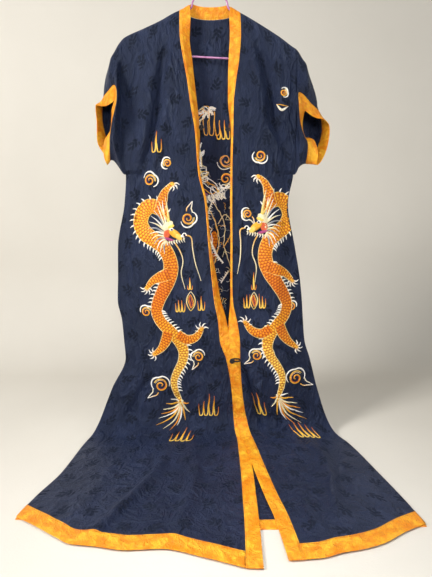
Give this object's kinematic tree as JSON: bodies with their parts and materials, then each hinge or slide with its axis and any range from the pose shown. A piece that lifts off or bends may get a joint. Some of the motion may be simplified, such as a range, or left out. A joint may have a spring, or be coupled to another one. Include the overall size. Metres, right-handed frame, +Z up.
{
  "type": "kimono on a hanger",
  "caption": "Navy silk kimono robe with orange satin bindings, frog fastenings and dragon embroidery, hung open on a wire hanger with its skirt spread forward.",
  "frame": {"origin": "the point where the hanger's hook bears on its rail", "axes": "+Z up, -Y out of the garment's front, +X to the right of someone who faces the front"},
  "size_m": [0.7371, 0.5357, 1.1843],
  "materials": {
    "navy_silk": "satin",
    "orange_satin": "satin",
    "black_braid": "matte",
    "mauve_wire": "gloss"
  },
  "bodies": {
    "root": {"back": "navy_silk", "front_left": "navy_silk", "front_right": "navy_silk", "sleeve_left": "navy_silk", "sleeve_right": "navy_silk", "neck_band": "orange_satin", "front_band_left": "orange_satin", "front_band_right": "orange_satin", "hem_band_left": "orange_satin", "hem_band_right": "orange_satin", "hem_band_back": "orange_satin", "cuff_band_left": "orange_satin", "cuff_band_right": "orange_satin", "waist_knot": "black_braid", "waist_loop": "black_braid", "chest_knot": "black_braid", "chest_loop": "black_braid", "hanger_hook": "mauve_wire", "hanger_arm_left": "mauve_wire", "hanger_arm_right": "mauve_wire", "hanger_bar": "mauve_wire"}
  },
  "joints": []
}
